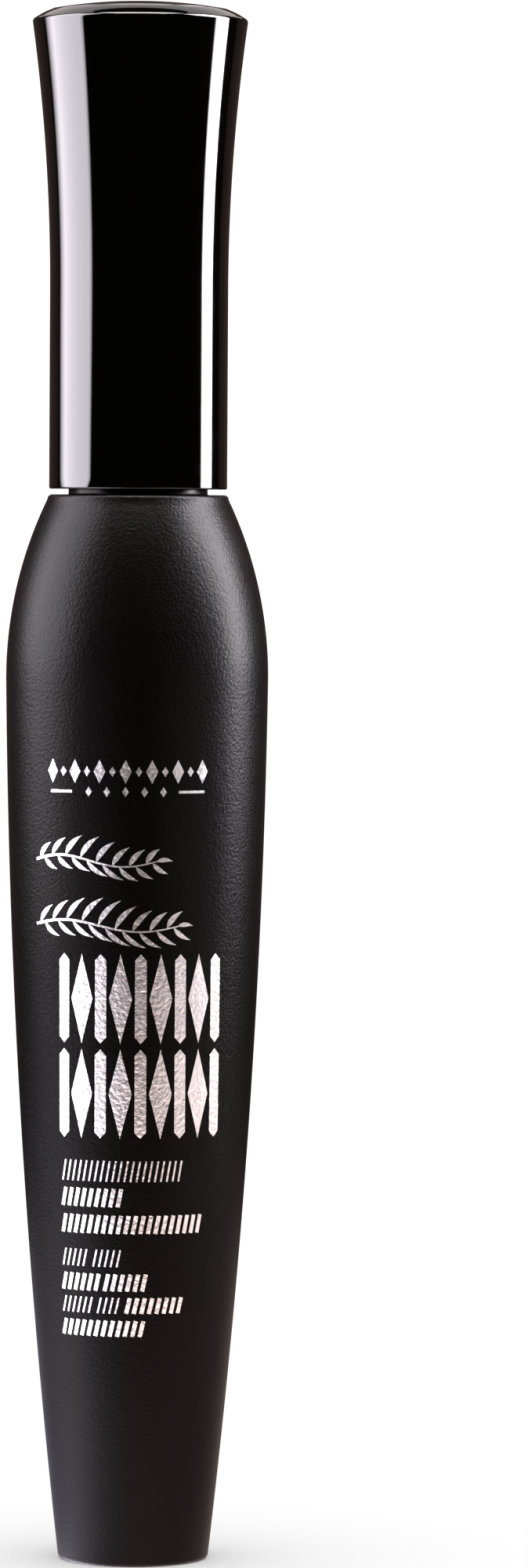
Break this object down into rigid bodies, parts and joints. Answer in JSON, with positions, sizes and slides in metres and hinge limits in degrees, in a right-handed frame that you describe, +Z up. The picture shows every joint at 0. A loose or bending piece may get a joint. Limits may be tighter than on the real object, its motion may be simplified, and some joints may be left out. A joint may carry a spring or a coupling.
{
  "type": "mascara tube",
  "caption": "Closed mascara tube: satin belly-shaped bottle with a wiper, under a glossy flared screw cap that carries a rod and a twisted-wire brush.",
  "frame": {"origin": "centre of the base, in the plane that the closed tube stands on", "axes": "+Z up along the axis of the bottle, towards the top of the cap; X and Y are alike, because the outside is round"},
  "size_m": [0.0216, 0.0216, 0.1286],
  "materials": {
    "satin_black": "satin soft-touch coating with a fine grain",
    "natural_polyethylene": "unpigmented, slightly waxy",
    "mascara": "wet, thick black paste",
    "gloss_black": "polished moulded black",
    "black_liner": "plain moulded black",
    "satin_rod": "satin moulded black",
    "twisted_wire": "drawn stainless wire",
    "nylon_bristle": "fine dark brown-black filament",
    "silver_foil": "hot-stamped silver foil ornament on the bottle, lightly crinkled"
  },
  "bodies": {
    "container": {"bottle": "satin_black", "wiper": "natural_polyethylene"},
    "paste": {"mascara_paste": "mascara"},
    "applicator": {"overcap": "gloss_black", "cap_top": "gloss_black", "inner_cap": "black_liner", "rod": "satin_rod", "wire_core": "twisted_wire", "bristles": "nylon_bristle"}
  },
  "joints": [
    {"name": "cap_turn", "type": "hinge", "parent": "container", "child": "paste", "pos_m": [0, 0, 0.1], "axis": [0, 0, 1], "range_deg": [0, 540]},
    {"name": "applicator_pull", "type": "slide", "parent": "paste", "child": "applicator", "axis": [0, 0, 1], "range_m": [0, 0.1], "deforming": ["bristles"]}
  ]
}
